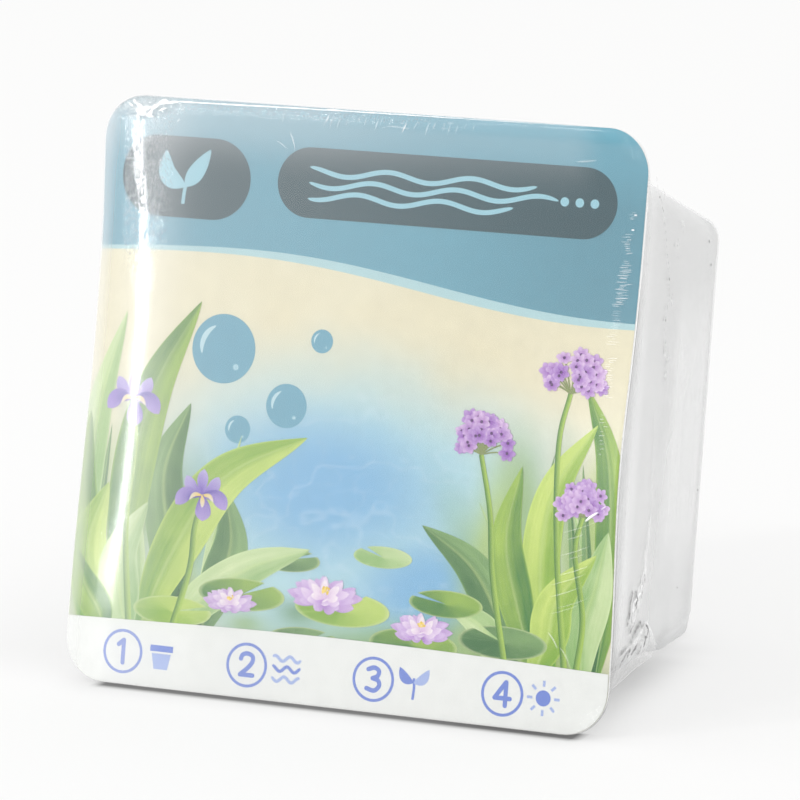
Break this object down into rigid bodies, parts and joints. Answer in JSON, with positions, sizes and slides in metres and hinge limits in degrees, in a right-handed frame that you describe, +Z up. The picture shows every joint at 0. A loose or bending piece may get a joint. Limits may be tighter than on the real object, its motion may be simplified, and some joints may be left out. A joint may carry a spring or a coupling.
{
  "type": "water plant kit package",
  "caption": "Square tapered plant tub lying on its side, its mouth covered by a printed card with rounded corners, all wrapped in clear shrink film.",
  "frame": {"origin": "bottom centre of the bounding box, on the surface that the package stands on", "axes": "+X to the right across the card, +Y from the card back to the tub's base, +Z up"},
  "size_m": [0.151, 0.133, 0.1484],
  "materials": {
    "tub_plastic": "light grey moulded plastic, satin",
    "card_board": "coated board, printed in blue, sand, green and lilac",
    "clear_film": "clear, glossy, slightly crinkled"
  },
  "bodies": {
    "root": {"tub": "tub_plastic", "card": "card_board", "shrink_film": "clear_film"}
  },
  "joints": []
}
